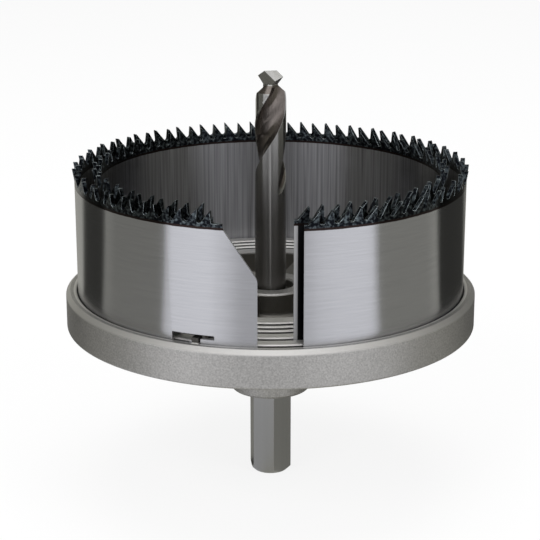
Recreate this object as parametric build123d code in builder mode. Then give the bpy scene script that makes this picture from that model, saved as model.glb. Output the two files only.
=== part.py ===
"""Hole saw with loose saw bands: a grooved cast carrier on a hexagonal shank, two open saw
bands with set teeth, and a twist drill as pilot. Millimetres, +Z along the axis towards the
teeth, origin in the middle of the shank's end face, -Y towards the bands' chip gap.
"""

from build123d import *
from math import acos, asin, cos, degrees, pi, radians, sin, tan
import os

# ---- Driving dimensions -------------------------------------------------------------------

# Hexagonal shank
SHANK_ACROSS_FLATS = 10.0
SHANK_EXPOSED = 23.5  # from its end face to the carrier's boss
SHANK_END_CHAMFER = 1.3
SHANK_RECESS = 2.2  # the shank's top below the hub's top
SHANK_TURN = 9.0  # one corner stands this many degrees to the right of the front

# Carrier
BOSS_DIAMETER = 21.4
BOSS_LENGTH = 18.9
BOSS_ROOT_FILLET = 2.0
BOSS_END_CHAMFER = 0.6
FLANGE_HEIGHT = 9.6
FLANGE_TOP_CHAMFER = 1.1
FLANGE_BOTTOM_FILLET = 0.5
HUB_DIAMETER = 20.0
HUB_BORE_DIAMETER = 11.8
HUB_CHAMFER = 0.5
PIT_DEPTH = 6.2
PIT_FLOOR_FILLET = 1.2
WEB_COUNT = 2
WEB_SPREAD = 38.0  # degrees that one web covers
WEB_TURN = 144.0  # degrees from the front to the middle of the first web
WEB_DROP = 0.6  # the webs' tops below the hub's
UNDERSIDE_DEPTH = 1.2
UNDERSIDE_RIM = 5.0  # width of the full-height ring left at the flange's edge
UNDERSIDE_COLLAR = 5.0  # width of the full-height ring left round the boss
RIB_COUNT = 6
RIB_WIDTH = 2.4

# Saw bands, and the grooves that hold them in the carrier's face
OUTER_SAW_DIAMETER = 100.0
SAW_STEPS = (10.0, 10.0, 6.0, 6.0)  # from each saw diameter down to the next groove's
BAND_THICKNESS = 1.1
GROOVE_DEPTH = 6.0
GROOVE_CLEARANCE = 0.3  # between a band and each wall of its groove
RIM_WIDTH = 2.8  # of the carrier, outside the outermost groove
PIT_RIDGE_WIDTH = 4.3  # of the ridge between the pit and the innermost groove
RIDGE_CHAMFER = 0.25

# Teeth
BAND_BODY_HEIGHT = 29.2  # from the carrier's face to the bottom of the gullets
TOOTH_HEIGHT = 3.1
TOOTH_PITCH = 3.63
TOOTH_SET = 0.55
TOOTH_TIP_LAND = 0.2
GULLET_RADIUS = 0.6
GULLET_FLAT = 0.35

# Chip gap, cut alike in both bands: its right edge is upright, its left one slants outwards
OUTER_GAP_RIGHT = 7.7  # right edge from the middle plane
INNER_GAP_RIGHT = 5.4
GAP_WIDTH = 10.75
GAP_SLANT_WIDTH = 7.95
GAP_SLANT_HEIGHT = 11.9
GAP_SLANT_DROP = 1.1  # the slant's upper end below the gullets
GAP_CORNER_RADIUS = 3.0

# Bayonet slots at the foot of the bands, and the carrier's drive lugs in them
SLOT_COUNT = 2
SLOT_TURN = -21.5  # degrees from the front to the middle of the first slot
SLOT_LENGTH = 10.8
SLOT_TOP = 2.0  # above the carrier's face
SLOT_CORNER_RADIUS = 0.3
SLOT_STRIP_TOP = 0.95  # top of the strip to the right of the entry
SLOT_ENTRY_PLACE = 0.9  # middle of the entry, to the right of the slot's middle
SLOT_ENTRY_WIDTH = 2.0
SLOT_RAMP_TOP = 0.7  # the strip to the left of the entry falls away in a ramp
SLOT_RAMP_LENGTH = 1.4
SLOT_RAMP_FOOT = -0.5
LUG_WIDTH = 1.7
LUG_TOP = 1.4
LUG_ROOT = 0.4  # how far the lug runs into the ridges beside its groove

# Pilot drill
DRILL_DIAMETER = 8.0
DRILL_LENGTH = 80.0
DRILL_ABOVE_FACE = 56.0
DRILL_BORE_CLEARANCE = 0.03
FLUTED_LENGTH = 31.8
FLUTE_RUNOUT = 15.2  # the lowest stretch of the flutes, which rises out of the drill
FLUTE_LEAD = 41.0
RUNOUT_LEAD = 52.0
RUNOUT_CLEARANCE = 0.1
RUNOUT_STEPS = 6
FLUTE_RADIUS = 5.0
DRILL_WEB = 1.6
MARGIN_WIDTH = 0.7
LAND_RELIEF = 0.2
SHOULDER_BELOW_TIP = 5.6
NECK_DIAMETER = 3.4
POINT_DIAMETER = 6.3
POINT_THICKNESS = 2.3
POINT_FOOT_WIDTH = 3.0
POINT_RISE = 1.4  # from the outer corners of the lips to the tip
POINT_RELIEF = 32.0  # degrees
POINT_SINK = 0.8  # how far the point's foot runs into the web
DRILL_TURN = 46.0  # turns the flutes about the axis
LIP_TURN = 52.0  # the direction of one lip, in degrees from the front

# Clamp screw for the drill
SCREW_DIAMETER = 5.0
SCREW_CLEARANCE = 0.05
SCREW_BELOW_FLANGE = 8.5
SCREW_SOCKET = 2.5  # across the flats of its hexagonal socket
SCREW_SOCKET_DEPTH = 2.4
SCREW_SINK = 0.3  # its outer end below the boss's surface
SCREW_FLAT_DEPTH = 0.4  # the flat on the drill that it presses on
SCREW_FLAT_LENGTH = 8.0

# ---- Levels, radii and directions that follow -----------------------------------------------

boss_bottom = SHANK_EXPOSED
flange_bottom = boss_bottom + BOSS_LENGTH
face = flange_bottom + FLANGE_HEIGHT
groove_floor = face - GROOVE_DEPTH
pit_floor = face - PIT_DEPTH
shank_top = face - SHANK_RECESS
drill_tip = face + DRILL_ABOVE_FACE
drill_bottom = drill_tip - DRILL_LENGTH
runout_top = drill_tip - FLUTED_LENGTH + FLUTE_RUNOUT
gullet_level = face + BAND_BODY_HEIGHT
tooth_tip = gullet_level + TOOTH_HEIGHT
screw_level = flange_bottom - SCREW_BELOW_FLANGE

drill_radius = DRILL_DIAMETER / 2
boss_radius = BOSS_DIAMETER / 2
hub_radius = HUB_DIAMETER / 2
shank_corner_radius = SHANK_ACROSS_FLATS / 2 / cos(pi / 6)
screw_hole_radius = SCREW_DIAMETER / 2 + SCREW_CLEARANCE

saw_diameters = [OUTER_SAW_DIAMETER]
for saw_step in SAW_STEPS:
    saw_diameters.append(saw_diameters[-1] - saw_step)

FRONT = -90.0  # the front direction as an angle from +X
CUT_MARGIN = 1.0  # how far a cutting shape runs past what it cuts
screw_turn = SHANK_TURN + 150.0  # square to the flat of the shank at the back
slot_turns = [SLOT_TURN + turn * 360 / SLOT_COUNT for turn in range(SLOT_COUNT)]


def facing(turn):
    """Plane through the axis, looking in from a direction given in degrees from the front.
    Its x runs round the saw, its y up the axis and its normal outwards."""
    outward = Vector(1, 0, 0).rotate(Axis.Z, FRONT + turn)
    return Plane(origin=(0, 0, 0), x_dir=outward.rotate(Axis.Z, 90), z_dir=outward)


def at_level(shapes, level, axis=Axis.Z):
    """The edges or corners that lie at one height."""
    return shapes.filter_by_position(axis, level - 0.01, level + 0.01)


def groove_walls(saw_diameter):
    """Outer and inner radius of the groove that takes a band of this diameter."""
    outer_wall = saw_diameter / 2 + GROOVE_CLEARANCE
    return outer_wall, outer_wall - BAND_THICKNESS - 2 * GROOVE_CLEARANCE


def is_one_of(value, choices):
    """Whether a measured value is one of a list of sizes."""
    return any(abs(value - choice) < 0.001 for choice in choices)


# ---- Carrier: one die-casting -----------------------------------------------------------------

flange_radius = groove_walls(saw_diameters[0])[0] + RIM_WIDTH
pit_radius = groove_walls(saw_diameters[-1])[1] - PIT_RIDGE_WIDTH

with BuildPart() as carrier:
    with BuildSketch(Plane.XY.offset(flange_bottom)):
        Circle(flange_radius)
    extrude(amount=FLANGE_HEIGHT)
    flange_edges = carrier.edges().filter_by(GeomType.CIRCLE).sort_by(Axis.Z)
    fillet(flange_edges[0], FLANGE_BOTTOM_FILLET)
    chamfer(flange_edges[-1], FLANGE_TOP_CHAMFER)

    # Open pit round the hub, crossed by the webs
    web_reach = pit_radius / cos(radians(WEB_SPREAD / 2)) + CUT_MARGIN
    with BuildSketch(Plane.XY.offset(face)):
        Circle(pit_radius)
        Circle(hub_radius, mode=Mode.SUBTRACT)
        with PolarLocations(0, WEB_COUNT, start_angle=FRONT + WEB_TURN):
            Triangle(
                a=2 * web_reach * sin(radians(WEB_SPREAD / 2)),
                b=web_reach,
                c=web_reach,
                rotation=90,
                align=(Align.CENTER, Align.MAX),
                mode=Mode.SUBTRACT,
            )
    extrude(amount=-PIT_DEPTH, mode=Mode.SUBTRACT)
    fillet(at_level(carrier.edges(), pit_floor), PIT_FLOOR_FILLET)
    with BuildSketch(Plane.XY.offset(face)):
        Circle(pit_radius)
        Circle(hub_radius, mode=Mode.SUBTRACT)
    extrude(amount=-WEB_DROP, mode=Mode.SUBTRACT)

    # Grooves for the bands, with drive lugs across them
    with BuildSketch(Plane.XY.offset(face)):
        for saw_diameter in saw_diameters:
            groove_outer, groove_inner = groove_walls(saw_diameter)
            Circle(groove_outer)
            Circle(groove_inner, mode=Mode.SUBTRACT)
    extrude(amount=-GROOVE_DEPTH, mode=Mode.SUBTRACT)
    walls = [wall for saw_diameter in saw_diameters for wall in groove_walls(saw_diameter)]
    rings = at_level(carrier.edges(), face).filter_by(GeomType.CIRCLE)
    chamfer([ring for ring in rings if is_one_of(ring.radius, walls)], RIDGE_CHAMFER)
    for saw_diameter in saw_diameters:
        groove_outer, groove_inner = groove_walls(saw_diameter)
        for slot_turn in slot_turns:
            with BuildSketch(facing(slot_turn).offset(groove_inner - LUG_ROOT)):
                with Locations((SLOT_ENTRY_PLACE, groove_floor)):
                    Rectangle(LUG_WIDTH, GROOVE_DEPTH + LUG_TOP, align=(Align.CENTER, Align.MIN))
            extrude(amount=groove_outer - groove_inner + 2 * LUG_ROOT)

    # Shallow recess in the underside, with ribs
    recess_outer = flange_radius - UNDERSIDE_RIM
    recess_inner = boss_radius + UNDERSIDE_COLLAR
    with BuildSketch(Plane.XY.offset(flange_bottom)):
        Circle(recess_outer)
        Circle(recess_inner, mode=Mode.SUBTRACT)
        with PolarLocations((recess_outer + recess_inner) / 2, RIB_COUNT):
            Rectangle(recess_outer, RIB_WIDTH, mode=Mode.SUBTRACT)
    extrude(amount=UNDERSIDE_DEPTH, mode=Mode.SUBTRACT)

    # Boss under the flange
    with BuildSketch(Plane.XY.offset(boss_bottom)):
        Circle(boss_radius)
    extrude(amount=BOSS_LENGTH)
    boss_root = at_level(carrier.edges().filter_by(GeomType.CIRCLE), flange_bottom)
    fillet(boss_root.sort_by(SortBy.RADIUS)[0], BOSS_ROOT_FILLET)
    chamfer(at_level(carrier.edges(), boss_bottom), BOSS_END_CHAMFER)

    # Hub bore above the shank, and the hexagonal hole that the shank fills
    with BuildSketch(Plane.XY.offset(shank_top)):
        Circle(HUB_BORE_DIAMETER / 2)
    extrude(amount=SHANK_RECESS, mode=Mode.SUBTRACT)
    hub_edges = at_level(carrier.edges().filter_by(GeomType.CIRCLE), face).sort_by(SortBy.RADIUS)
    chamfer(hub_edges[0:2], HUB_CHAMFER)
    with BuildSketch(Plane.XY.offset(boss_bottom)):
        RegularPolygon(shank_corner_radius, 6, rotation=FRONT + SHANK_TURN)
    extrude(amount=shank_top - boss_bottom, mode=Mode.SUBTRACT)

    # Threaded hole for the clamp screw, through the back of the boss
    with BuildSketch(facing(screw_turn)):
        with Locations((0, screw_level)):
            Circle(screw_hole_radius)
    extrude(amount=boss_radius + CUT_MARGIN, mode=Mode.SUBTRACT)
carrier.part.label = "carrier"

# ---- Hexagonal shank: steel bar, chamfered at its end and bored for the drill ------------------

with BuildPart() as hex_shank:
    with BuildSketch():
        Circle(shank_corner_radius)
    extrude(amount=shank_top)
    chamfer(hex_shank.edges().filter_by(GeomType.CIRCLE).sort_by(Axis.Z)[0], SHANK_END_CHAMFER)
    with BuildSketch():
        RegularPolygon(shank_corner_radius, 6, rotation=FRONT + SHANK_TURN)
    extrude(amount=shank_top, mode=Mode.INTERSECT)
    with BuildSketch(Plane.XY.offset(drill_bottom)):
        Circle(drill_radius + DRILL_BORE_CLEARANCE)
    extrude(amount=shank_top - drill_bottom, mode=Mode.SUBTRACT)
    with BuildSketch(facing(screw_turn)):
        with Locations((0, screw_level)):
            Circle(screw_hole_radius)
    extrude(amount=shank_corner_radius + CUT_MARGIN, mode=Mode.SUBTRACT)
hex_shank.part.label = "hex_shank"

# ---- Pilot drill ------------------------------------------------------------------------------

flute_centre = DRILL_WEB / 2 + FLUTE_RADIUS
flute_half_angle = degrees(
    acos((drill_radius**2 + flute_centre**2 - FLUTE_RADIUS**2) / (2 * drill_radius * flute_centre))
)
land_angle = 180 - 2 * flute_half_angle
relief_angle = land_angle - degrees(MARGIN_WIDTH / drill_radius)

with BuildSketch(Plane.XY.offset(runout_top)) as fluted_section:
    Circle(drill_radius)
    with PolarLocations(0, 2):
        with BuildLine():
            outer_arc = CenterArc((0, 0), drill_radius + CUT_MARGIN, flute_half_angle, relief_angle)
            relief_arc = CenterArc((0, 0), drill_radius - LAND_RELIEF, flute_half_angle, relief_angle)
            Line(outer_arc @ 0, relief_arc @ 0)
            Line(outer_arc @ 1, relief_arc @ 1)
        make_face(mode=Mode.SUBTRACT)
    with PolarLocations(flute_centre, 2):
        Circle(FLUTE_RADIUS, mode=Mode.SUBTRACT)

twisted_body = Solid.extrude_linear_with_rotation(
    fluted_section.sketch.face(),
    (0, 0, runout_top),
    (0, 0, drill_tip - runout_top),
    360 * (drill_tip - runout_top) / FLUTE_LEAD,
)

with BuildPart() as fluted_body:
    add(twisted_body, rotation=(0, 0, DRILL_TURN))
    neck_radius = NECK_DIAMETER / 2
    neck_level = drill_tip - SHOULDER_BELOW_TIP + drill_radius - neck_radius
    outside = drill_radius + CUT_MARGIN
    with BuildSketch(Plane.XZ):
        with BuildLine():
            Polyline(
                (0, runout_top - CUT_MARGIN),
                (outside, runout_top - CUT_MARGIN),
                (outside, neck_level - (outside - neck_radius)),
                (neck_radius, neck_level),
                (0, neck_level),
                close=True,
            )
        make_face()
    revolve(axis=Axis.Z, mode=Mode.INTERSECT)

# What a grinding wheel takes out as it lifts away from one flute, until it is clear of the drill
runout_lift = drill_radius + RUNOUT_CLEARANCE + FLUTE_RADIUS - flute_centre
with BuildPart() as runout_cut:
    for step in range(-1, RUNOUT_STEPS + 1):
        below = FLUTE_RUNOUT * step / RUNOUT_STEPS
        lift = runout_lift * step / RUNOUT_STEPS
        wheel_turn = radians(DRILL_TURN - 360 * below / RUNOUT_LEAD)
        with BuildSketch(Plane.XY.offset(runout_top - below)):
            with Locations((flute_centre + lift) * Vector(cos(wheel_turn), sin(wheel_turn))):
                Circle(FLUTE_RADIUS)
    loft()

# The point that starts the hole: two lips across the web, with their relief faces
with BuildPart() as drill_point:
    point_radius = POINT_DIAMETER / 2
    foot_level = neck_level - POINT_SINK
    with BuildSketch(Plane.XZ):
        with BuildLine():
            Polyline(
                (0, foot_level),
                (POINT_FOOT_WIDTH / 2, foot_level),
                (POINT_FOOT_WIDTH / 2, foot_level + POINT_SINK),
                (point_radius, drill_tip - POINT_RISE),
                (point_radius, drill_tip),
                (0, drill_tip),
            )
            mirror(about=Plane.YZ)
        make_face()
    extrude(amount=POINT_THICKNESS / 2, both=True)
    relief_fall = tan(radians(POINT_RELIEF))
    outward_fall = (POINT_RISE + relief_fall * POINT_THICKNESS / 2) / point_radius
    for side in (1, -1):
        normal = (side * outward_fall, -side * relief_fall, 1)
        split(bisect_by=Plane(origin=(0, 0, drill_tip), z_dir=normal), keep=Keep.BOTTOM)

with BuildPart() as pilot_drill:
    # Plain shank, with the run-out of the flutes at its top
    with BuildSketch(Plane.XY.offset(drill_bottom)):
        Circle(drill_radius)
    extrude(amount=runout_top - drill_bottom)
    with PolarLocations(0, 2):
        add(runout_cut.part, mode=Mode.SUBTRACT)

    # Fluted body with its shoulder
    add(fluted_body.part)
    add(drill_point.part, rotation=(0, 0, FRONT + LIP_TURN))

    # Flat for the clamp screw
    with BuildSketch(facing(screw_turn).offset(drill_radius - SCREW_FLAT_DEPTH)):
        with Locations((0, screw_level)):
            Rectangle(DRILL_DIAMETER, SCREW_FLAT_LENGTH)
    extrude(amount=SCREW_FLAT_DEPTH + CUT_MARGIN, mode=Mode.SUBTRACT)
pilot_drill.part.label = "pilot_drill"

# ---- Clamp screw: socket set screw ---------------------------------------------------------------

screw_inner_end = drill_radius - SCREW_FLAT_DEPTH
screw_outer_end = boss_radius - SCREW_SINK

with BuildPart() as drill_clamp_screw:
    with BuildSketch(facing(screw_turn).offset(screw_inner_end)):
        with Locations((0, screw_level)):
            Circle(SCREW_DIAMETER / 2)
    extrude(amount=screw_outer_end - screw_inner_end)
    with BuildSketch(facing(screw_turn).offset(screw_outer_end)):
        with Locations((0, screw_level)):
            RegularPolygon(SCREW_SOCKET / 2, 6, major_radius=False)
    extrude(amount=-SCREW_SOCKET_DEPTH, mode=Mode.SUBTRACT)
drill_clamp_screw.part.label = "drill_clamp_screw"


# ---- Saw bands: bent steel strip, toothed and set -------------------------------------------------


def set_tooth(radius, set_out, pitch):
    """One tooth at the front of a band: upright rake face to the right, rounded gullet at its
    foot, a straight back down to the next gullet, and its tip set out of the strip's line."""
    inner = radius - BAND_THICKNESS
    foot_right = GULLET_RADIUS
    foot_left = foot_right + GULLET_FLAT - pitch
    with BuildPart() as tooth:
        with BuildSketch(Plane.XZ):
            with BuildLine():
                Polyline(
                    (inner, gullet_level),
                    (radius, gullet_level),
                    (radius + set_out, tooth_tip),
                    (inner + set_out, tooth_tip),
                    close=True,
                )
            make_face()
        revolve(axis=Axis.Z)
        with BuildSketch(facing(0)):
            with BuildLine():
                Polyline(
                    (foot_right, gullet_level),
                    (foot_left, gullet_level),
                    (-TOOTH_TIP_LAND, tooth_tip),
                    (0, tooth_tip),
                    (0, gullet_level + GULLET_RADIUS),
                )
                RadiusArc((0, gullet_level + GULLET_RADIUS), (foot_right, gullet_level), -GULLET_RADIUS)
            make_face()
        extrude(amount=radius + TOOTH_SET + CUT_MARGIN, mode=Mode.INTERSECT)
    return tooth.part


def saw_band(saw_diameter, gap_right):
    """A band in its groove: C-shaped ring with its chip gap at the front, bayonet slots at the
    foot, and teeth set by turns outwards and inwards."""
    radius = saw_diameter / 2
    inner = radius - BAND_THICKNESS
    teeth_round = round(pi * saw_diameter / TOOTH_PITCH)
    pitch_angle = 360 / teeth_round
    foot_angle = degrees(GULLET_RADIUS / inner)
    left = gap_right - GAP_WIDTH
    left_top = left - GAP_SLANT_WIDTH
    first_angle = degrees(asin(gap_right / radius))
    last_angle = 360 + degrees(asin(left_top / radius)) - foot_angle
    tooth_count = int((last_angle - first_angle) / pitch_angle)
    pitch_inside = 2 * pi * inner / teeth_round

    with BuildPart() as band:
        with BuildSketch(Plane.XY.offset(groove_floor)):
            Circle(radius)
            Circle(inner, mode=Mode.SUBTRACT)
        extrude(amount=gullet_level - groove_floor)

        # Chip gap, with its slanted left edge
        slant_end = gullet_level - GAP_SLANT_DROP
        slant_start = slant_end - GAP_SLANT_HEIGHT
        with BuildSketch(facing(0)) as gap:
            with BuildLine():
                Polyline(
                    (left, groove_floor - CUT_MARGIN),
                    (left, slant_start),
                    (left_top, slant_end),
                    (left_top, gullet_level + CUT_MARGIN),
                    (gap_right, gullet_level + CUT_MARGIN),
                    (gap_right, groove_floor - CUT_MARGIN),
                    close=True,
                )
            make_face()
            fillet(at_level(gap.vertices(), slant_start, Axis.Y), GAP_CORNER_RADIUS)
        extrude(amount=radius + CUT_MARGIN, mode=Mode.SUBTRACT)

        # Bayonet slots: an entry for the lug from below, under a long cross slot
        slot_end = SLOT_LENGTH / 2
        entry_left = SLOT_ENTRY_PLACE - SLOT_ENTRY_WIDTH / 2
        entry_right = SLOT_ENTRY_PLACE + SLOT_ENTRY_WIDTH / 2
        below = groove_floor - CUT_MARGIN
        for slot_turn in slot_turns:
            with BuildSketch(facing(slot_turn)) as slot:
                with BuildLine():
                    Polyline(
                        (-slot_end, face + SLOT_TOP),
                        (slot_end, face + SLOT_TOP),
                        (slot_end, face + SLOT_STRIP_TOP),
                        (entry_right, face + SLOT_STRIP_TOP),
                        (entry_right, below),
                        (entry_left, below),
                        (entry_left, face + SLOT_RAMP_TOP),
                        (entry_left - SLOT_RAMP_LENGTH, face + SLOT_RAMP_FOOT),
                        (-slot_end, face + SLOT_RAMP_FOOT),
                        close=True,
                    )
                make_face()
                fillet(slot.vertices().group_by(Axis.Y)[-1], SLOT_CORNER_RADIUS)
            extrude(amount=radius + CUT_MARGIN, mode=Mode.SUBTRACT)

        # Teeth, all round from the right end of the band to the left one
        for first, set_out in ((0, TOOTH_SET), (1, -TOOTH_SET)):
            tooth = set_tooth(radius, set_out, pitch_inside)
            turns = [
                first_angle + (place + 1) * pitch_angle for place in range(first, tooth_count, 2)
            ]
            with Locations(*[Location((0, 0, 0), (0, 0, turn)) for turn in turns]):
                add(tooth)
    return band.part


outer_saw_band = saw_band(saw_diameters[0], OUTER_GAP_RIGHT)
outer_saw_band.label = "outer_saw_band"

inner_saw_band = saw_band(saw_diameters[1], INNER_GAP_RIGHT)
inner_saw_band.label = "inner_saw_band"

# ---- Write one STEP file for each piece -----------------------------------------------------------

os.makedirs("parts", exist_ok=True)
pieces = (
    carrier.part,
    hex_shank.part,
    pilot_drill.part,
    drill_clamp_screw.part,
    outer_saw_band,
    inner_saw_band,
)
for piece in pieces:
    export_step(piece, f"parts/{piece.label}.step")
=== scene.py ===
import bmesh
import bpy
from math import cos, radians, sin
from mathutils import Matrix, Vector


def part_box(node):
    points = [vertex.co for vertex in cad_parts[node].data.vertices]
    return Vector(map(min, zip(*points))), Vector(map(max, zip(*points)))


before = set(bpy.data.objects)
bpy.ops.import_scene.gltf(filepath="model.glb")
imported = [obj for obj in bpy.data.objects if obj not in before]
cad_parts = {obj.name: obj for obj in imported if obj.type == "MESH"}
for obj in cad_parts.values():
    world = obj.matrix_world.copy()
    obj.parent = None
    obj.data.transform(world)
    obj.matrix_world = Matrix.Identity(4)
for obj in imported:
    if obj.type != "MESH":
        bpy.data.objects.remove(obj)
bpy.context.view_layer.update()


# ---- Carrier --------------------------------------------------------------------------------
# The carrier is a zinc die-casting, blasted with fine grit and left bare. Its flange holds the
# saw bands in ring grooves, and its boss is cast round the hexagonal shank.

CAST_COLOUR = (0.64, 0.63, 0.608, 1)
CAST_SHADE = (0.40, 0.392, 0.378, 1)
CAST_EDGE = (0.82, 0.807, 0.777, 1)  # the flange's turned bevel and the crests of the ridges
PIT_PAINTED_SHADE = (0.24, 0.23, 0.207, 1)  # painted shade on the floor and walls of the pit and on the lugs above the face
GROOVE_PAINTED_SHADE = (0.10, 0.096, 0.088, 1)  # the same painted shade, darker, in the grooves
CAST_GRAIN_SCALE = 2400
CAST_CLOUD_SCALE = 60
CAST_GRAIN_DEPTH = 0.00012
EDGE_ROUNDING = 0.0002
PIT_RADIUS = 0.028
RECESS_RADIUS = 0.0512
RECESS_DEPTH = 0.0075  # below the flange's face
LUG_RISE = 0.0014  # of the lugs above that face

face_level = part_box("carrier")[1][2] - LUG_RISE


def new_material(name):
    """An empty node material and its node and link collections."""
    material = bpy.data.materials.new(name)
    material.use_nodes = True
    nodes, links = material.node_tree.nodes, material.node_tree.links
    nodes.clear()
    return material, nodes, links


def add_node(nodes, kind, **settings):
    """A shader node with its properties or numbered inputs set."""
    node = nodes.new(kind)
    for key, value in settings.items():
        if hasattr(node, key):
            setattr(node, key, value)
        else:
            node.inputs[key.replace("_", " ")].default_value = value
    return node


def metal_shader(nodes, links, **sockets):
    """A metal surface joined to the material's output."""
    shader = nodes.new("ShaderNodeBsdfPrincipled")
    sockets.setdefault("Metallic", 1.0)
    for key, value in sockets.items():
        shader.inputs[key.replace("_", " ")].default_value = value
    output = nodes.new("ShaderNodeOutputMaterial")
    links.new(shader.outputs["BSDF"], output.inputs["Surface"])
    return shader


def two_colours(nodes, links, factor, low, high):
    """One colour blending into another along a factor."""
    blend = nodes.new("ShaderNodeMix")
    blend.data_type = "RGBA"
    links.new(factor, blend.inputs[0])
    for socket, colour in ((blend.inputs[6], low), (blend.inputs[7], high)):
        if isinstance(colour, tuple):
            socket.default_value = colour
        else:
            links.new(colour, socket)
    return blend.outputs[2]


def spread(nodes, links, value, low, high, start=0.0, end=1.0):
    """A value carried from one range into another."""
    mapped = nodes.new("ShaderNodeMapRange")
    links.new(value, mapped.inputs["Value"])
    mapped.inputs["From Min"].default_value = start
    mapped.inputs["From Max"].default_value = end
    mapped.inputs["To Min"].default_value = low
    mapped.inputs["To Max"].default_value = high
    return mapped.outputs["Result"]


def bump(nodes, links, height, strength, distance, normal=None):
    """A bump from a height, on top of another normal if there is one."""
    node = nodes.new("ShaderNodeBump")
    if isinstance(strength, (int, float)):
        node.inputs["Strength"].default_value = strength
    else:
        links.new(strength, node.inputs["Strength"])
    node.inputs["Distance"].default_value = distance
    links.new(height, node.inputs["Height"])
    if normal is not None:
        links.new(normal, node.inputs["Normal"])
    return node.outputs["Normal"]


def grain_group():
    """Grains of one size, with a slow cloud over them."""
    group = bpy.data.node_groups.new("grain", "ShaderNodeTree")
    group.interface.new_socket("Vector", in_out="INPUT", socket_type="NodeSocketVector")
    group.interface.new_socket("Grain Scale", in_out="INPUT", socket_type="NodeSocketFloat")
    group.interface.new_socket("Cloud Scale", in_out="INPUT", socket_type="NodeSocketFloat")
    group.interface.new_socket("Grain", in_out="OUTPUT", socket_type="NodeSocketFloat")
    group.interface.new_socket("Cloud", in_out="OUTPUT", socket_type="NodeSocketFloat")
    nodes, links = group.nodes, group.links
    inside = nodes.new("NodeGroupInput")
    outside = nodes.new("NodeGroupOutput")
    for scale, detail, name in (("Grain Scale", 2.0, "Grain"), ("Cloud Scale", 4.0, "Cloud")):
        noise = nodes.new("ShaderNodeTexNoise")
        noise.inputs["Detail"].default_value = detail
        links.new(inside.outputs["Vector"], noise.inputs["Vector"])
        links.new(inside.outputs[scale], noise.inputs["Scale"])
        links.new(noise.outputs["Fac"], outside.inputs[name])
    return group


def dress(node, material):
    """Gives a carried-over node its material."""
    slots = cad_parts[node].data.materials
    slots.clear()
    slots.append(material)


GRAIN = grain_group()


def place_grain(nodes, links, vector, grain_scale, cloud_scale):
    """The grain group, placed in a material."""
    group = nodes.new("ShaderNodeGroup")
    group.node_tree = GRAIN
    links.new(vector, group.inputs["Vector"])
    group.inputs["Grain Scale"].default_value = grain_scale
    group.inputs["Cloud Scale"].default_value = cloud_scale
    return group.outputs["Grain"], group.outputs["Cloud"]


def round_group():
    """Where a point lies round the axis: its radius, height, angle from the front and how far
    its face looks outwards."""
    group = bpy.data.node_groups.new("round_the_axis", "ShaderNodeTree")
    group.interface.new_socket("Vector", in_out="INPUT", socket_type="NodeSocketVector")
    for name in ("Radius", "Height", "Angle", "Outwards"):
        group.interface.new_socket(name, in_out="OUTPUT", socket_type="NodeSocketFloat")
    nodes, links = group.nodes, group.links
    inside = nodes.new("NodeGroupInput")
    outside = nodes.new("NodeGroupOutput")
    parts = nodes.new("ShaderNodeSeparateXYZ")
    links.new(inside.outputs["Vector"], parts.inputs["Vector"])
    flat = add_node(nodes, "ShaderNodeVectorMath", operation="MULTIPLY")
    links.new(inside.outputs["Vector"], flat.inputs[0])
    flat.inputs[1].default_value = (1, 1, 0)
    radius = add_node(nodes, "ShaderNodeVectorMath", operation="LENGTH")
    links.new(flat.outputs["Vector"], radius.inputs[0])
    outward = add_node(nodes, "ShaderNodeVectorMath", operation="NORMALIZE")
    links.new(flat.outputs["Vector"], outward.inputs[0])
    facing = add_node(nodes, "ShaderNodeVectorMath", operation="DOT_PRODUCT")
    links.new(outward.outputs["Vector"], facing.inputs[0])
    links.new(nodes.new("ShaderNodeNewGeometry").outputs["Normal"], facing.inputs[1])
    front = add_node(nodes, "ShaderNodeMath", operation="MULTIPLY")
    links.new(parts.outputs["Y"], front.inputs[0])
    front.inputs[1].default_value = -1
    angle = add_node(nodes, "ShaderNodeMath", operation="ARCTAN2")
    links.new(parts.outputs["X"], angle.inputs[0])
    links.new(front.outputs["Value"], angle.inputs[1])
    links.new(radius.outputs["Value"], outside.inputs["Radius"])
    links.new(parts.outputs["Z"], outside.inputs["Height"])
    links.new(angle.outputs["Value"], outside.inputs["Angle"])
    links.new(facing.outputs["Value"], outside.inputs["Outwards"])
    return group


ROUND = round_group()


def place_round(nodes, links, vector):
    """The group for places round the axis, placed in a material."""
    group = nodes.new("ShaderNodeGroup")
    group.node_tree = ROUND
    links.new(vector, group.inputs["Vector"])
    return group.outputs


def both(nodes, links, first, second, operation="MULTIPLY"):
    """Two masks or values joined by one sum."""
    node = add_node(nodes, "ShaderNodeMath", operation=operation)
    for socket, value in zip(node.inputs, (first, second)):
        if isinstance(value, (int, float)):
            socket.default_value = value
        else:
            links.new(value, socket)
    return node.outputs["Value"]


cast, nodes, links = new_material("blasted_die_casting")
shader = metal_shader(nodes, links, Roughness=0.55)
place = nodes.new("ShaderNodeTexCoord").outputs["Object"]
around = place_round(nodes, links, place)
grain, cloud = place_grain(nodes, links, place, CAST_GRAIN_SCALE, CAST_CLOUD_SCALE)
sand = both(nodes, links, spread(nodes, links, grain, 0.0, 0.8, 0.3, 0.7),
            spread(nodes, links, cloud, 0.0, 0.2, 0.3, 0.7), "ADD")
blasted = two_colours(nodes, links, sand, CAST_SHADE, CAST_COLOUR)
within = spread(nodes, links, around["Radius"], 1, 0, RECESS_RADIUS - 0.0001, RECESS_RADIUS)
under_face = spread(nodes, links, around["Height"], 1, 0, face_level - 0.0005, face_level - 0.0003)
recess_floor = face_level - RECESS_DEPTH
over_floor = spread(nodes, links, around["Height"], 0, 1, recess_floor - 0.0001, recess_floor + 0.0001)
recess = both(nodes, links, both(nodes, links, within, under_face), over_floor)
over_face = spread(nodes, links, around["Height"], 0, 1, face_level + 0.0001, face_level + 0.0003)
painted_shade_mask = both(nodes, links, recess, over_face, "MAXIMUM")
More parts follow.
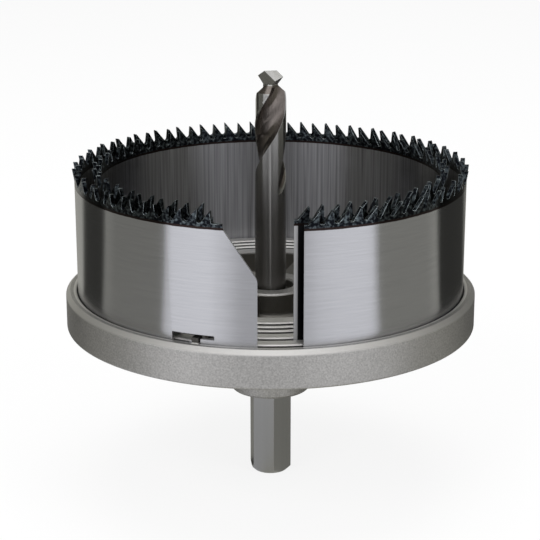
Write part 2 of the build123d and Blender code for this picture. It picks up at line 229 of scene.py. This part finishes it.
without = spread(nodes, links, around["Radius"], 0, 1, RECESS_RADIUS + 0.0007, RECESS_RADIUS + 0.0009)
over_side = spread(nodes, links, around["Height"], 0, 1, face_level - 0.0014, face_level - 0.0009)
grooved = spread(nodes, links, around["Radius"], 0, 1, PIT_RADIUS + 0.0004, PIT_RADIUS + 0.0008)
bevel_mask = both(nodes, links, without, over_side)
at_face = both(nodes, links, 1, under_face, "SUBTRACT")
crest_mask = both(nodes, links, both(nodes, links, grooved, within), at_face)
turned_mask = both(nodes, links, bevel_mask, crest_mask, "MAXIMUM")
turned = two_colours(nodes, links, turned_mask, blasted, CAST_EDGE)
# Painted shade: the pit, the grooves and the lugs that stand above the face are coloured darker.
painted_shade = two_colours(nodes, links, grooved, PIT_PAINTED_SHADE, GROOVE_PAINTED_SHADE)
links.new(two_colours(nodes, links, painted_shade_mask, turned, painted_shade), shader.inputs["Base Color"])
links.new(spread(nodes, links, grain, 0.44, 0.6), shader.inputs["Roughness"])
rounded = add_node(nodes, "ShaderNodeBevel", samples=4, Radius=EDGE_ROUNDING)
grained = bump(nodes, links, grain, 0.5, CAST_GRAIN_DEPTH, rounded.outputs["Normal"])
links.new(grained, shader.inputs["Normal"])
dress("carrier", cast)

# ---- Hexagonal shank -------------------------------------------------------------------------
# The shank is a length of cold-drawn hexagon bar, turned to a chamfer at its end. The carrier is
# cast round its upper half, and it is bored for the pilot drill.

SHANK_COLOUR = (0.46, 0.46, 0.455, 1)
SHANK_SHADE = (0.39, 0.39, 0.385, 1)
SHANK_STRETCH = (1, 1, 0.02)  # drawn lines run along the bar
SHANK_SCALES = (4200, 500)  # of the grain and of its cloud

drawn, nodes, links = new_material("drawn_hexagon_bar")
shader = metal_shader(nodes, links, Roughness=0.4)
place = nodes.new("ShaderNodeTexCoord").outputs["Object"]
stretch = add_node(nodes, "ShaderNodeMapping", Scale=SHANK_STRETCH)
links.new(place, stretch.inputs["Vector"])
grain, cloud = place_grain(nodes, links, stretch.outputs["Vector"], *SHANK_SCALES)
links.new(two_colours(nodes, links, cloud, SHANK_SHADE, SHANK_COLOUR), shader.inputs["Base Color"])
links.new(spread(nodes, links, grain, 0.28, 0.4), shader.inputs["Roughness"])
rounded = add_node(nodes, "ShaderNodeBevel", samples=4, Radius=EDGE_ROUNDING)
links.new(bump(nodes, links, grain, 0.2, 0.00005, rounded.outputs["Normal"]), shader.inputs["Normal"])
dress("hex_shank", drawn)

# ---- Pilot drill -----------------------------------------------------------------------------
# The pilot drill is ground from high-speed steel: bright flutes and lips over a plain shank that
# sits in the bore of the hexagon bar.

DRILL_COLOUR = (0.50, 0.495, 0.48, 1)
DRILL_SHADE = (0.36, 0.355, 0.34, 1)
DRILL_PAINTED_SHADE = (0.27, 0.263, 0.252, 1)  # painted shade low on the drill, where it stands between the bands
FLUTE_COLOUR = (0.31, 0.275, 0.25, 1)
FLUTE_SHADE = (0.15, 0.13, 0.118, 1)
FLUTE_RADIUS = 0.00374
POINT_HEIGHT = 0.0036
PAINTED_SHADE_FADE_FROM = 0.018  # above the flange's face, where the painted shade begins to fade
PAINTED_SHADE_FADE_TO = 0.03  # and where it is gone
DRILL_STRETCH = (1, 1, 0.06)
DRILL_SCALES = (2600, 700)
DRILL_ROUNDING = 0.00012

drill_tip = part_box("pilot_drill")[1][2]

ground, nodes, links = new_material("ground_tool_steel")
shader = metal_shader(nodes, links, Roughness=0.25, Anisotropic=1.0, Anisotropic_Rotation=0.25)
around_drill = add_node(nodes, "ShaderNodeTangent", direction_type="RADIAL", axis="Z")
links.new(around_drill.outputs["Tangent"], shader.inputs["Tangent"])
place = nodes.new("ShaderNodeTexCoord").outputs["Object"]
around = place_round(nodes, links, place)
stretch = add_node(nodes, "ShaderNodeMapping", Scale=DRILL_STRETCH)
links.new(place, stretch.inputs["Vector"])
grain, cloud = place_grain(nodes, links, stretch.outputs["Vector"], *DRILL_SCALES)
land = two_colours(nodes, links, cloud, DRILL_SHADE, DRILL_COLOUR)
flute = two_colours(nodes, links, grain, FLUTE_SHADE, FLUTE_COLOUR)
in_flute = spread(nodes, links, around["Radius"], 1, 0, FLUTE_RADIUS - 0.00004, FLUTE_RADIUS)
point_foot = drill_tip - POINT_HEIGHT
under_point = spread(nodes, links, around["Height"], 1, 0, point_foot, point_foot + 0.0001)
fluted = both(nodes, links, in_flute, under_point)
# Painted shade: the drill is coloured darker low down and fades to its own steel higher up.
past_painted_shade = spread(nodes, links, around["Height"], 0, 1, face_level + PAINTED_SHADE_FADE_FROM, face_level + PAINTED_SHADE_FADE_TO)
land_with_painted_shade = two_colours(nodes, links, past_painted_shade, DRILL_PAINTED_SHADE, land)
links.new(two_colours(nodes, links, fluted, land_with_painted_shade, flute), shader.inputs["Base Color"])
links.new(spread(nodes, links, grain, 0.2, 0.3), shader.inputs["Roughness"])
rounded = add_node(nodes, "ShaderNodeBevel", samples=4, Radius=DRILL_ROUNDING)
links.new(rounded.outputs["Normal"], shader.inputs["Normal"])
dress("pilot_drill", ground)

# ---- Clamp screw -----------------------------------------------------------------------------
# A socket set screw of black-oxide steel holds the drill. It is screwed in through the back of
# the boss.

OXIDE_COLOUR = (0.07, 0.07, 0.075, 1)
OXIDE_SHADE = (0.03, 0.03, 0.034, 1)
OXIDE_SCALES = (3000, 200)
SCREW_ROUNDING = 0.0001

blackened, nodes, links = new_material("black_oxide")
shader = metal_shader(nodes, links, Metallic=0.7)
place = nodes.new("ShaderNodeTexCoord").outputs["Object"]
grain, cloud = place_grain(nodes, links, place, *OXIDE_SCALES)
links.new(two_colours(nodes, links, cloud, OXIDE_SHADE, OXIDE_COLOUR), shader.inputs["Base Color"])
links.new(spread(nodes, links, grain, 0.3, 0.5), shader.inputs["Roughness"])
rounded = add_node(nodes, "ShaderNodeBevel", samples=4, Radius=SCREW_ROUNDING)
links.new(rounded.outputs["Normal"], shader.inputs["Normal"])
dress("drill_clamp_screw", blackened)

# ---- Saw bands -------------------------------------------------------------------------------
# The bands are bent from spring-steel strip, brushed along its length. The teeth are stamped,
# set outwards and inwards in turn, and hardened blue-black down to a sharp line.

STRIP_COLOUR = (0.55, 0.553, 0.57, 1)
STRIP_SHADE = (0.495, 0.498, 0.514, 1)
INNER_FACE_COLOUR = (0.46, 0.46, 0.475, 1)
INNER_FACE_SHADE = (0.23, 0.23, 0.237, 1)
# Bare steel on the cut edges, the same colour also painted light beside the gap.
CUT_EDGE_AND_GAP_LIGHT = (0.60, 0.60, 0.60, 1)
TEMPER_COLOUR = (0.17, 0.205, 0.22, 1)
TEMPER_SHADE = (0.008, 0.009, 0.012, 1)
TEMPER_LINE_COLOUR = (0.03, 0.02, 0.018, 1)
# Worn bare steel on the tooth edges, with painted glints.
WORN_AND_GLINT_COLOUR = (0.80, 0.90, 0.92, 1)
TEMPER_LINE = 0.0284  # above the carrier's face
TEMPER_LINE_WIDTH = 0.0005
LINE_WANDER = 0.00012
NESTED_PAINTED_SHADE = (0.03, 0.03, 0.032, 1)  # painted shade on the inner band's outer face, in the narrow space behind the outer
NESTED_RADIUS = 0.0475  # between the two bands
GAP_LIGHT_TURN = 0.1405  # radians from the front, to which that face has painted light beside the gap
BRUSH_STRETCH = (0.0012, 1, 1)
BRUSH_SCALES = (7000, 2200)
STREAK_STRETCH = (0.05, 1, 0.02)
STREAK_SCALES = (1400, 160)
SCORE_STRETCH = (0.0015, 1, 1)
SCORE_SCALES = (14000, 2200)
SCORE_DEPTH = 0.00016
MOTTLE_SCALES = (1300, 420)
TOOTH_ROUNDING = 0.00018

strip, nodes, links = new_material("brushed_strip_steel")
shader = metal_shader(nodes, links, Roughness=0.25, Anisotropic=1.0, Anisotropic_Rotation=0.25)
lengthwise = add_node(nodes, "ShaderNodeTangent", direction_type="RADIAL", axis="Z")
links.new(lengthwise.outputs["Tangent"], shader.inputs["Tangent"])
place = nodes.new("ShaderNodeTexCoord").outputs["Object"]
around = place_round(nodes, links, place)
unrolled = nodes.new("ShaderNodeCombineXYZ")
links.new(around["Angle"], unrolled.inputs["X"])
links.new(around["Height"], unrolled.inputs["Z"])
along = add_node(nodes, "ShaderNodeMapping", Scale=BRUSH_STRETCH)
links.new(unrolled.outputs["Vector"], along.inputs["Vector"])
lines, clouds = place_grain(nodes, links, along.outputs["Vector"], *BRUSH_SCALES)
across = add_node(nodes, "ShaderNodeMapping", Scale=STREAK_STRETCH)
links.new(unrolled.outputs["Vector"], across.inputs["Vector"])
streaks = place_grain(nodes, links, across.outputs["Vector"], *STREAK_SCALES)[0]
brushing = both(nodes, links, both(nodes, links, lines, clouds, "ADD"), 0.5)
brushing = spread(nodes, links, brushing, 0, 1, 0.35, 0.65)
brushed = two_colours(nodes, links, brushing, STRIP_SHADE, STRIP_COLOUR)
streaks = spread(nodes, links, streaks, 0, 1, 0.3, 0.7)
rolled = two_colours(nodes, links, streaks, INNER_FACE_SHADE, INNER_FACE_COLOUR)
outward = spread(nodes, links, around["Outwards"], 0, 1, 0.45, 0.55)
large = spread(nodes, links, around["Radius"], 0, 1, NESTED_RADIUS - 0.0001, NESTED_RADIUS)
outer_face = both(nodes, links, outward, large)
between = both(nodes, links, outward, large, "SUBTRACT")
sides = two_colours(nodes, links, outer_face, rolled, brushed)
# Painted shade on the inner band's outer face, with a strip of painted light where it shows beside the
# gap.
past_front = spread(nodes, links, around["Angle"], 0, 1, 0.0, 0.02)
near_gap = spread(nodes, links, around["Angle"], 1, 0, GAP_LIGHT_TURN, GAP_LIGHT_TURN + 0.002)
gap_light_mask = both(nodes, links, past_front, near_gap)
gap_light_and_shade = two_colours(nodes, links, gap_light_mask, NESTED_PAINTED_SHADE, CUT_EDGE_AND_GAP_LIGHT)
sides = two_colours(nodes, links, between, sides, gap_light_and_shade)
across_strip = both(nodes, links, around["Outwards"], 0, "ABSOLUTE")
cut_edge = spread(nodes, links, across_strip, 1, 0, 0.45, 0.55)
clean = two_colours(nodes, links, cut_edge, sides, CUT_EDGE_AND_GAP_LIGHT)
mottle_grain, mottle = place_grain(nodes, links, place, *MOTTLE_SCALES)
# Teeth: random speckles in the temper colours, partly painted glints; on their edges worn bare steel,
# partly painted glints.
speckles_and_glints = spread(nodes, links, mottle_grain, 0, 1, 0.45, 0.8)
tempered = two_colours(nodes, links, speckles_and_glints, TEMPER_SHADE, TEMPER_COLOUR)
rounded = add_node(nodes, "ShaderNodeBevel", samples=4, Radius=TOOTH_ROUNDING)
edge_turn = add_node(nodes, "ShaderNodeVectorMath", operation="DOT_PRODUCT")
links.new(rounded.outputs["Normal"], edge_turn.inputs[0])
links.new(nodes.new("ShaderNodeNewGeometry").outputs["Normal"], edge_turn.inputs[1])
worn_and_glints = both(nodes, links, spread(nodes, links, edge_turn.outputs["Value"], 1, 0, 0.86, 0.985),
            spread(nodes, links, mottle, 0, 1, 0.4, 0.6))
teeth = two_colours(nodes, links, worn_and_glints, tempered, WORN_AND_GLINT_COLOUR)
wander = spread(nodes, links, mottle, -LINE_WANDER, LINE_WANDER)
height = both(nodes, links, around["Height"], wander, "ADD")
line_level = face_level + TEMPER_LINE
above_line = spread(nodes, links, height, 0, 1, line_level - 0.00005, line_level + 0.00005)
on_line = spread(nodes, links, height, 0, 1,
                 line_level - TEMPER_LINE_WIDTH - 0.0001, line_level - TEMPER_LINE_WIDTH)
lined = two_colours(nodes, links, on_line, clean, TEMPER_LINE_COLOUR)
links.new(two_colours(nodes, links, above_line, lined, teeth), shader.inputs["Base Color"])
dull = both(nodes, links, 1, outer_face, "SUBTRACT")
sheen = both(nodes, links, spread(nodes, links, lines, 0.22, 0.26), both(nodes, links, dull, 0.12), "ADD")
links.new(sheen, shader.inputs["Roughness"])
fine = add_node(nodes, "ShaderNodeMapping", Scale=SCORE_STRETCH)
links.new(unrolled.outputs["Vector"], fine.inputs["Vector"])
scores = place_grain(nodes, links, fine.outputs["Vector"], *SCORE_SCALES)[0]
depth = spread(nodes, links, dull, 0.02, 0.1)
scored = bump(nodes, links, scores, depth, SCORE_DEPTH, rounded.outputs["Normal"])
links.new(scored, shader.inputs["Normal"])
dress("outer_saw_band", strip)
dress("inner_saw_band", strip)

# ---- Floor, light and camera -------------------------------------------------------------------
# A table inside a round tent with light, grey and dark bars. The tent shows in the metal alone.
# The camera sees the table white, and the metal sees it in grey levels of its own. Three soft
# lamps stand outside the tent.

FLOOR_RADIUS = 4.0
FLOOR_GLOW = 0.85  # the share of plain white that the camera sees
TENT_RADIUS = 0.5
TENT_HEIGHT = 1.2
TENT_LID_GLOW = 1.4
TENT_LEVELS = (  # degrees from the front, and how bright, set for the front view
    (-180, 0.36), (-166, 0.3), (-160, 0.38), (-134, 0.42), (-130, 0.045), (-104.6, 0.045),
    (-103, 0.34), (-94, 0.24), (-57.5, 0.24), (-56.2, 1.05), (-33, 1.08), (-25, 0.93), (-16, 0.62),
    (0, 0.57), (16, 0.63), (25, 0.9), (35, 1.0), (56.8, 1.03), (58, 0.29), (95, 0.29),
    (104.2, 0.42), (105.6, 0.04), (145, 0.04), (148, 0.24), (160, 0.24), (166, 0.3), (180, 0.36),
)
TABLE_LEVELS = (  # the same for the table near the tool, in the metal alone
    (-180, 0.3), (-126, 0.3), (-123, 0.04), (-99, 0.04), (-97, 0.4), (-75, 0.5), (-45, 0.5),
    (-20, 0.42), (20, 0.42), (40, 0.3), (75, 0.26), (97, 0.26), (99, 0.04), (138, 0.04),
    (141, 0.3), (180, 0.3),
)
TABLE_NEAR = 0.085  # from here out to TABLE_FAR the tent's levels take over
TABLE_FAR = 0.13


def studio_levels(nodes, links, levels, angle):
    """The brightness round the studio: white paper a little cool, what lies between it warm."""
    turn = spread(nodes, links, angle, 0, 1, -radians(180), radians(180))
    ramp = nodes.new("ShaderNodeValToRGB")
    links.new(turn, ramp.inputs["Fac"])
    stops = ramp.color_ramp.elements
    stops.remove(stops[1])
    for number, (degrees_round, level) in enumerate(levels):
        stop = stops[0] if number == 0 else stops.new((degrees_round + 180) / 360)
        stop.position = (degrees_round + 180) / 360
        tint = (0.985, 0.99, 1.03) if level > 0.45 else (1.03, 1.02, 0.93)
        stop.color = (level * tint[0], level * tint[1], level * tint[2], 1)
    return ramp.outputs["Color"]


floor_mesh = bmesh.new()
bmesh.ops.create_circle(floor_mesh, cap_ends=True, segments=96, radius=FLOOR_RADIUS)
floor = bpy.data.objects.new("floor", bpy.data.meshes.new("floor"))
floor_mesh.to_mesh(floor.data)
floor_mesh.free()
bpy.context.collection.objects.link(floor)

table, nodes, links = new_material("white_table")
matt = add_node(nodes, "ShaderNodeBsdfDiffuse", Color=(0.8, 0.8, 0.8, 1))
glow = add_node(nodes, "ShaderNodeEmission", Color=(1, 1, 1, 1), Strength=1.0)
rays = nodes.new("ShaderNodeLightPath")
seen = both(nodes, links, rays.outputs["Is Camera Ray"], FLOOR_GLOW)
plain = nodes.new("ShaderNodeMixShader")
links.new(seen, plain.inputs[0])
links.new(matt.outputs["BSDF"], plain.inputs[1])
links.new(glow.outputs["Emission"], plain.inputs[2])
around = place_round(nodes, links, nodes.new("ShaderNodeTexCoord").outputs["Object"])
in_metal = nodes.new("ShaderNodeEmission")
near = studio_levels(nodes, links, TABLE_LEVELS, around["Angle"])
far = studio_levels(nodes, links, TENT_LEVELS, around["Angle"])
beyond = spread(nodes, links, around["Radius"], 0, 1, TABLE_NEAR, TABLE_FAR)
links.new(two_colours(nodes, links, beyond, near, far), in_metal.inputs["Color"])
mix = nodes.new("ShaderNodeMixShader")
links.new(rays.outputs["Is Glossy Ray"], mix.inputs[0])
links.new(plain.outputs["Shader"], mix.inputs[1])
links.new(in_metal.outputs["Emission"], mix.inputs[2])
output = nodes.new("ShaderNodeOutputMaterial")
links.new(mix.outputs["Shader"], output.inputs["Surface"])
floor.data.materials.append(table)

tent_mesh = bmesh.new()
bmesh.ops.create_cone(tent_mesh, segments=96, radius1=TENT_RADIUS, radius2=TENT_RADIUS, depth=TENT_HEIGHT)
bmesh.ops.translate(tent_mesh, vec=(0, 0, TENT_HEIGHT / 2 + 0.001), verts=tent_mesh.verts[:])
rim = [edge for edge in tent_mesh.edges if all(v.co.z > TENT_HEIGHT / 2 for v in edge.verts)]
lid = bmesh.ops.contextual_create(tent_mesh, geom=rim)
for face in lid["faces"]:
    face.material_index = 1
tent = bpy.data.objects.new("light_tent", bpy.data.meshes.new("light_tent"))
tent_mesh.to_mesh(tent.data)
tent_mesh.free()
bpy.context.collection.objects.link(tent)
tent.visible_camera = False
tent.visible_diffuse = False
tent.visible_shadow = False

paper, nodes, links = new_material("light_tent")
around = place_round(nodes, links, nodes.new("ShaderNodeTexCoord").outputs["Object"])
glow = nodes.new("ShaderNodeEmission")
links.new(studio_levels(nodes, links, TENT_LEVELS, around["Angle"]), glow.inputs["Color"])
output = nodes.new("ShaderNodeOutputMaterial")
links.new(glow.outputs["Emission"], output.inputs["Surface"])
tent.data.materials.append(paper)

diffuser, nodes, links = new_material("light_tent_lid")
glow = add_node(nodes, "ShaderNodeEmission", Color=(1, 1, 1, 1), Strength=TENT_LID_GLOW)
output = nodes.new("ShaderNodeOutputMaterial")
links.new(glow.outputs["Emission"], output.inputs["Surface"])
tent.data.materials.append(diffuser)

world = bpy.data.worlds.new("white_sky")
bpy.context.scene.world = world
world.use_nodes = True
nodes, links = world.node_tree.nodes, world.node_tree.links
nodes.clear()
sky = add_node(nodes, "ShaderNodeBackground", Color=(1, 1, 1, 1))
rays = nodes.new("ShaderNodeLightPath")
seen = add_node(nodes, "ShaderNodeMath", operation="MAXIMUM")
links.new(rays.outputs["Is Camera Ray"], seen.inputs[0])
links.new(rays.outputs["Is Glossy Ray"], seen.inputs[1])
strength = spread(nodes, links, seen.outputs["Value"], 0.6, 1.0)
links.new(strength, sky.inputs["Strength"])
output = nodes.new("ShaderNodeOutputWorld")
links.new(sky.outputs["Background"], output.inputs["Surface"])

LAMPS = (
    ("softbox_left", (-0.55, -0.75, 0.75), 0.6, 6.0),
    ("softbox_right", (0.7, -0.5, 0.6), 0.5, 3.0),
    ("softbox_top", (0.0, 0.15, 1.0), 0.7, 5.0),
)
middle = Vector((0, 0, 0.06))
for name, where, size, power in LAMPS:
    lamp = bpy.data.lights.new(name, "AREA")
    lamp.shape, lamp.size, lamp.energy = "SQUARE", size, power
    box = bpy.data.objects.new(name, lamp)
    box.location = where
    box.rotation_euler = (middle - Vector(where)).to_track_quat("-Z", "Y").to_euler()
    box.visible_glossy = False
    bpy.context.collection.objects.link(box)

CAMERA_ELEVATION = 16.989
CAMERA_DISTANCE = 0.440
CAMERA_AIM = (-0.00013, 0.0, face_level + 0.00352)
CAMERA_LENS = 112.49
elevation = radians(CAMERA_ELEVATION)
aim = Vector(CAMERA_AIM)
camera = bpy.data.objects.new("camera", bpy.data.cameras.new("camera"))
camera.data.lens = CAMERA_LENS
camera.data.clip_start = 0.01
camera.location = aim + CAMERA_DISTANCE * Vector((0, -cos(elevation), sin(elevation)))
camera.rotation_euler = (aim - camera.location).to_track_quat("-Z", "Y").to_euler()
bpy.context.collection.objects.link(camera)
bpy.context.scene.camera = camera
bpy.context.scene.view_settings.view_transform = "Standard"
